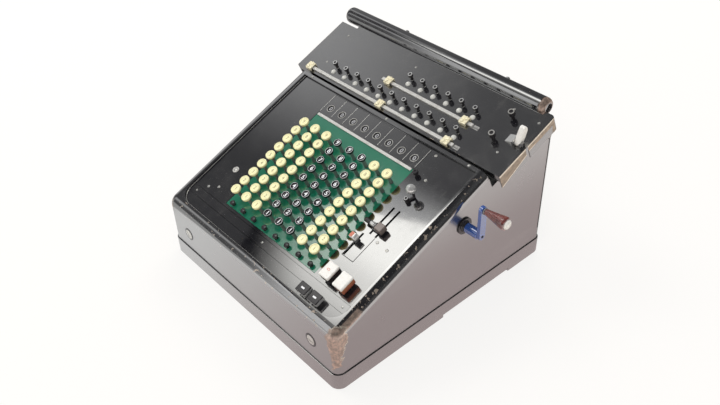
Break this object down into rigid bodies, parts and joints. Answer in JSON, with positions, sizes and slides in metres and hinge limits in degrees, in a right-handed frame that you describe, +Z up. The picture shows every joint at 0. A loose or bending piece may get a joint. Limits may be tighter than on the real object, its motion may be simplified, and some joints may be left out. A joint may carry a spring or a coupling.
{
  "type": "adding machine",
  "caption": "Desktop adding machine with a sloped full keyboard, a register carriage that shifts sideways, and a side crank.",
  "frame": {"origin": "centre of the base's underside, on the table", "axes": "+Z up, +X to the operator's right, where the crank is, and +Y away from the operator"},
  "size_m": [0.3568, 0.3074, 0.2052],
  "materials": {
    "black_enamel": "glossy black enamel, worn through at the edges",
    "green_enamel": "dark green enamel, scuffed",
    "cream_cap": "cream key caps",
    "black_cap": "black caps and knobs",
    "ivory": "off-white plastic",
    "nickel": "nickel plate, a little tarnished",
    "brass": "worn brass",
    "steel": "plain oiled steel",
    "blued_steel": "blue-grey painted arm",
    "red_wood": "dark red polished wood"
  },
  "bodies": {
    "machine": {"base_tray": "black_enamel", "case_shell": "black_enamel", "keyboard_panel": "black_enamel", "front_strip": "black_enamel", "key_field_plate": "green_enamel", "check_window_plate": "black_enamel", "mechanism_frame": "steel", "crank_bush": "black_cap", "carriage_bed": "steel"},
    "crank": {"crank_shaft": "steel", "crank_arm": "blued_steel"},
    "grip": {"crank_grip": "red_wood"},
    "drums": {"drum_shaft": "steel"},
    "key_column_1": {"key_column_1": "cream_cap"},
    "key_column_2": {"key_column_2": "cream_cap"},
    "key_column_3": {"key_column_3": "cream_cap"},
    "key_column_4": {"key_column_4": "black_cap"},
    "key_column_5": {"key_column_5": "black_cap"},
    "key_column_6": {"key_column_6": "black_cap"},
    "key_column_7": {"key_column_7": "cream_cap"},
    "key_column_8": {"key_column_8": "cream_cap"},
    "clear_key_1": {"clear_key_1": "black_cap"},
    "clear_key_2": {"clear_key_2": "black_cap"},
    "clear_key_3": {"clear_key_3": "black_cap"},
    "clear_key_4": {"clear_key_4": "black_cap"},
    "clear_key_5": {"clear_key_5": "black_cap"},
    "clear_key_6": {"clear_key_6": "black_cap"},
    "clear_key_7": {"clear_key_7": "black_cap"},
    "clear_key_8": {"clear_key_8": "black_cap"},
    "white_key_left": {"white_key_left": "ivory"},
    "white_key_right": {"white_key_right": "ivory"},
    "dark_key_left": {"dark_key_left": "black_cap"},
    "dark_key_right": {"dark_key_right": "black_cap"},
    "tab_slider": {"tab_slider": "black_cap"},
    "mode_lever": {"mode_lever": "ivory"},
    "ball_lever": {"ball_lever": "nickel"},
    "carriage": {"carriage_plate": "black_enamel", "carriage_roll": "black_enamel"},
    "clearing_lever": {"clearing_lever": "ivory"},
    "front_button": {"front_button": "black_cap"},
    "rear_button": {"rear_button": "black_cap"},
    "result_dial_1": {"result_dial_1": "nickel"},
    "result_dial_2": {"result_dial_2": "nickel"},
    "result_dial_3": {"result_dial_3": "nickel"},
    "result_dial_4": {"result_dial_4": "nickel"},
    "result_dial_5": {"result_dial_5": "nickel"},
    "result_dial_6": {"result_dial_6": "nickel"},
    "result_dial_7": {"result_dial_7": "nickel"},
    "result_dial_8": {"result_dial_8": "nickel"},
    "result_dial_9": {"result_dial_9": "nickel"},
    "result_dial_10": {"result_dial_10": "nickel"},
    "result_dial_11": {"result_dial_11": "nickel"},
    "counter_dial_1": {"counter_dial_1": "nickel"},
    "counter_dial_2": {"counter_dial_2": "nickel"},
    "counter_dial_3": {"counter_dial_3": "nickel"},
    "counter_dial_4": {"counter_dial_4": "nickel"},
    "counter_dial_5": {"counter_dial_5": "nickel"},
    "counter_dial_6": {"counter_dial_6": "nickel"},
    "result_pointer": {"result_pointer": "brass"},
    "counter_pointer": {"counter_pointer": "brass"}
  },
  "joints": [
    {"name": "crank_turn", "type": "hinge", "parent": "machine", "child": "crank", "pos_m": [0, 0.0177, 0.112], "axis": [1, 0, 0], "continuous": true},
    {"name": "grip_spin", "type": "hinge", "parent": "crank", "child": "grip", "pos_m": [0, 0.0177, 0.1443], "axis": [1, 0, 0], "continuous": true},
    {"name": "drum_turn", "type": "hinge", "parent": "machine", "child": "drums", "pos_m": [0, -0.0125, 0.084], "axis": [1, 0, 0], "continuous": true},
    {"name": "key_column_1_press", "type": "slide", "parent": "machine", "child": "key_column_1", "axis": [0, 0.3923, -0.9198], "range_m": [0, 0.004], "stiffness_N_per_m": 150, "springref_m": -0.006},
    {"name": "key_column_2_press", "type": "slide", "parent": "machine", "child": "key_column_2", "axis": [0, 0.3923, -0.9198], "range_m": [0, 0.004], "stiffness_N_per_m": 150, "springref_m": -0.006},
    {"name": "key_column_3_press", "type": "slide", "parent": "machine", "child": "key_column_3", "axis": [0, 0.3923, -0.9198], "range_m": [0, 0.004], "stiffness_N_per_m": 150, "springref_m": -0.006},
    {"name": "key_column_4_press", "type": "slide", "parent": "machine", "child": "key_column_4", "axis": [0, 0.3923, -0.9198], "range_m": [0, 0.004], "stiffness_N_per_m": 150, "springref_m": -0.006},
    {"name": "key_column_5_press", "type": "slide", "parent": "machine", "child": "key_column_5", "axis": [0, 0.3923, -0.9198], "range_m": [0, 0.004], "stiffness_N_per_m": 150, "springref_m": -0.006},
    {"name": "key_column_6_press", "type": "slide", "parent": "machine", "child": "key_column_6", "axis": [0, 0.3923, -0.9198], "range_m": [0, 0.004], "stiffness_N_per_m": 150, "springref_m": -0.006},
    {"name": "key_column_7_press", "type": "slide", "parent": "machine", "child": "key_column_7", "axis": [0, 0.3923, -0.9198], "range_m": [0, 0.004], "stiffness_N_per_m": 150, "springref_m": -0.006},
    {"name": "key_column_8_press", "type": "slide", "parent": "machine", "child": "key_column_8", "axis": [0, 0.3923, -0.9198], "range_m": [0, 0.004], "stiffness_N_per_m": 150, "springref_m": -0.006},
    {"name": "clear_key_1_press", "type": "slide", "parent": "machine", "child": "clear_key_1", "axis": [0, 0.3923, -0.9198], "range_m": [0, 0.0025], "stiffness_N_per_m": 60, "springref_m": -0.004},
    {"name": "clear_key_2_press", "type": "slide", "parent": "machine", "child": "clear_key_2", "axis": [0, 0.3923, -0.9198], "range_m": [0, 0.0025], "stiffness_N_per_m": 60, "springref_m": -0.004},
    {"name": "clear_key_3_press", "type": "slide", "parent": "machine", "child": "clear_key_3", "axis": [0, 0.3923, -0.9198], "range_m": [0, 0.0025], "stiffness_N_per_m": 60, "springref_m": -0.004},
    {"name": "clear_key_4_press", "type": "slide", "parent": "machine", "child": "clear_key_4", "axis": [0, 0.3923, -0.9198], "range_m": [0, 0.0025], "stiffness_N_per_m": 60, "springref_m": -0.004},
    {"name": "clear_key_5_press", "type": "slide", "parent": "machine", "child": "clear_key_5", "axis": [0, 0.3923, -0.9198], "range_m": [0, 0.0025], "stiffness_N_per_m": 60, "springref_m": -0.004},
    {"name": "clear_key_6_press", "type": "slide", "parent": "machine", "child": "clear_key_6", "axis": [0, 0.3923, -0.9198], "range_m": [0, 0.0025], "stiffness_N_per_m": 60, "springref_m": -0.004},
    {"name": "clear_key_7_press", "type": "slide", "parent": "machine", "child": "clear_key_7", "axis": [0, 0.3923, -0.9198], "range_m": [0, 0.0025], "stiffness_N_per_m": 60, "springref_m": -0.004},
    {"name": "clear_key_8_press", "type": "slide", "parent": "machine", "child": "clear_key_8", "axis": [0, 0.3923, -0.9198], "range_m": [0, 0.0025], "stiffness_N_per_m": 60, "springref_m": -0.004},
    {"name": "white_key_left_press", "type": "slide", "parent": "machine", "child": "white_key_left", "axis": [0, 0.3923, -0.9198], "range_m": [0, 0.003], "stiffness_N_per_m": 120, "springref_m": -0.005},
    {"name": "white_key_right_press", "type": "slide", "parent": "machine", "child": "white_key_right", "axis": [0, 0.3923, -0.9198], "range_m": [0, 0.003], "stiffness_N_per_m": 120, "springref_m": -0.005},
    {"name": "dark_key_left_press", "type": "slide", "parent": "machine", "child": "dark_key_left", "axis": [0, 0.3923, -0.9198], "range_m": [0, 0.003], "stiffness_N_per_m": 120, "springref_m": -0.005},
    {"name": "dark_key_right_press", "type": "slide", "parent": "machine", "child": "dark_key_right", "axis": [0, 0.3923, -0.9198], "range_m": [0, 0.003], "stiffness_N_per_m": 120, "springref_m": -0.005},
    {"name": "tab_slide", "type": "slide", "parent": "machine", "child": "tab_slider", "axis": [0, 0.9198, 0.3923], "range_m": [-0.004, 0.022]},
    {"name": "mode_slide", "type": "slide", "parent": "machine", "child": "mode_lever", "axis": [0, 0.9198, 0.3923], "range_m": [-0.013, 0.0065]},
    {"name": "ball_lever_swing", "type": "hinge", "parent": "machine", "child": "ball_lever", "pos_m": [0.0968, -0.01324, 0.1311], "axis": [0, -0.3923, 0.9198], "range_deg": [-25, 25]},
    {"name": "carriage_shift", "type": "slide", "parent": "machine", "child": "carriage", "axis": [1, 0, 0], "range_m": [-0.019, 0.076]},
    {"name": "clearing_swing", "type": "hinge", "parent": "carriage", "child": "clearing_lever", "pos_m": [0.1484, 0.08712, 0.17771], "axis": [1, 0, 0], "range_deg": [0, 40], "stiffness_Nm_per_rad": 0.02, "springref_deg": -22.92},
    {"name": "front_button_press", "type": "slide", "parent": "carriage", "child": "front_button", "axis": [0, 0.3923, -0.9198], "range_m": [0, 0.005], "stiffness_N_per_m": 80, "springref_m": -0.005},
    {"name": "rear_button_press", "type": "slide", "parent": "carriage", "child": "rear_button", "axis": [0, 0.3923, -0.9198], "range_m": [0, 0.005], "stiffness_N_per_m": 80, "springref_m": -0.005},
    {"name": "result_dial_1_turn", "type": "hinge", "parent": "carriage", "child": "result_dial_1", "pos_m": [-0.1057, 0.07102, 0.16704], "axis": [0, -0.3923, 0.9198], "continuous": true},
    {"name": "result_dial_2_turn", "type": "hinge", "parent": "carriage", "child": "result_dial_2", "pos_m": [-0.0867, 0.07102, 0.16704], "axis": [0, -0.3923, 0.9198], "continuous": true},
    {"name": "result_dial_3_turn", "type": "hinge", "parent": "carriage", "child": "result_dial_3", "pos_m": [-0.0677, 0.07102, 0.16704], "axis": [0, -0.3923, 0.9198], "continuous": true},
    {"name": "result_dial_4_turn", "type": "hinge", "parent": "carriage", "child": "result_dial_4", "pos_m": [-0.0487, 0.07102, 0.16704], "axis": [0, -0.3923, 0.9198], "continuous": true},
    {"name": "result_dial_5_turn", "type": "hinge", "parent": "carriage", "child": "result_dial_5", "pos_m": [-0.0297, 0.07102, 0.16704], "axis": [0, -0.3923, 0.9198], "continuous": true},
    {"name": "result_dial_6_turn", "type": "hinge", "parent": "carriage", "child": "result_dial_6", "pos_m": [-0.0107, 0.07102, 0.16704], "axis": [0, -0.3923, 0.9198], "continuous": true},
    {"name": "result_dial_7_turn", "type": "hinge", "parent": "carriage", "child": "result_dial_7", "pos_m": [0.0083, 0.07102, 0.16704], "axis": [0, -0.3923, 0.9198], "continuous": true},
    {"name": "result_dial_8_turn", "type": "hinge", "parent": "carriage", "child": "result_dial_8", "pos_m": [0.0273, 0.07102, 0.16704], "axis": [0, -0.3923, 0.9198], "continuous": true},
    {"name": "result_dial_9_turn", "type": "hinge", "parent": "carriage", "child": "result_dial_9", "pos_m": [0.0463, 0.07102, 0.16704], "axis": [0, -0.3923, 0.9198], "continuous": true},
    {"name": "result_dial_10_turn", "type": "hinge", "parent": "carriage", "child": "result_dial_10", "pos_m": [0.0653, 0.07102, 0.16704], "axis": [0, -0.3923, 0.9198], "continuous": true},
    {"name": "result_dial_11_turn", "type": "hinge", "parent": "carriage", "child": "result_dial_11", "pos_m": [0.0843, 0.07102, 0.16704], "axis": [0, -0.3923, 0.9198], "continuous": true},
    {"name": "counter_dial_1_turn", "type": "hinge", "parent": "carriage", "child": "counter_dial_1", "pos_m": [-0.0107, 0.09879, 0.17889], "axis": [0, -0.3923, 0.9198], "continuous": true},
    {"name": "counter_dial_2_turn", "type": "hinge", "parent": "carriage", "child": "counter_dial_2", "pos_m": [0.0083, 0.09879, 0.17889], "axis": [0, -0.3923, 0.9198], "continuous": true},
    {"name": "counter_dial_3_turn", "type": "hinge", "parent": "carriage", "child": "counter_dial_3", "pos_m": [0.0273, 0.09879, 0.17889], "axis": [0, -0.3923, 0.9198], "continuous": true},
    {"name": "counter_dial_4_turn", "type": "hinge", "parent": "carriage", "child": "counter_dial_4", "pos_m": [0.0463, 0.09879, 0.17889], "axis": [0, -0.3923, 0.9198], "continuous": true},
    {"name": "counter_dial_5_turn", "type": "hinge", "parent": "carriage", "child": "counter_dial_5", "pos_m": [0.0653, 0.09879, 0.17889], "axis": [0, -0.3923, 0.9198], "continuous": true},
    {"name": "counter_dial_6_turn", "type": "hinge", "parent": "carriage", "child": "counter_dial_6", "pos_m": [0.0843, 0.09879, 0.17889], "axis": [0, -0.3923, 0.9198], "continuous": true},
    {"name": "result_pointer_slide", "type": "slide", "parent": "carriage", "child": "result_pointer", "axis": [1, 0, 0], "range_m": [-0.1, 0.09]},
    {"name": "counter_pointer_slide", "type": "slide", "parent": "carriage", "child": "counter_pointer", "axis": [1, 0, 0], "range_m": [-0.007, 0.1]}
  ],
  "couplings": [
    {"joint": "drum_turn", "follows": "crank_turn", "ratio": -1}
  ]
}
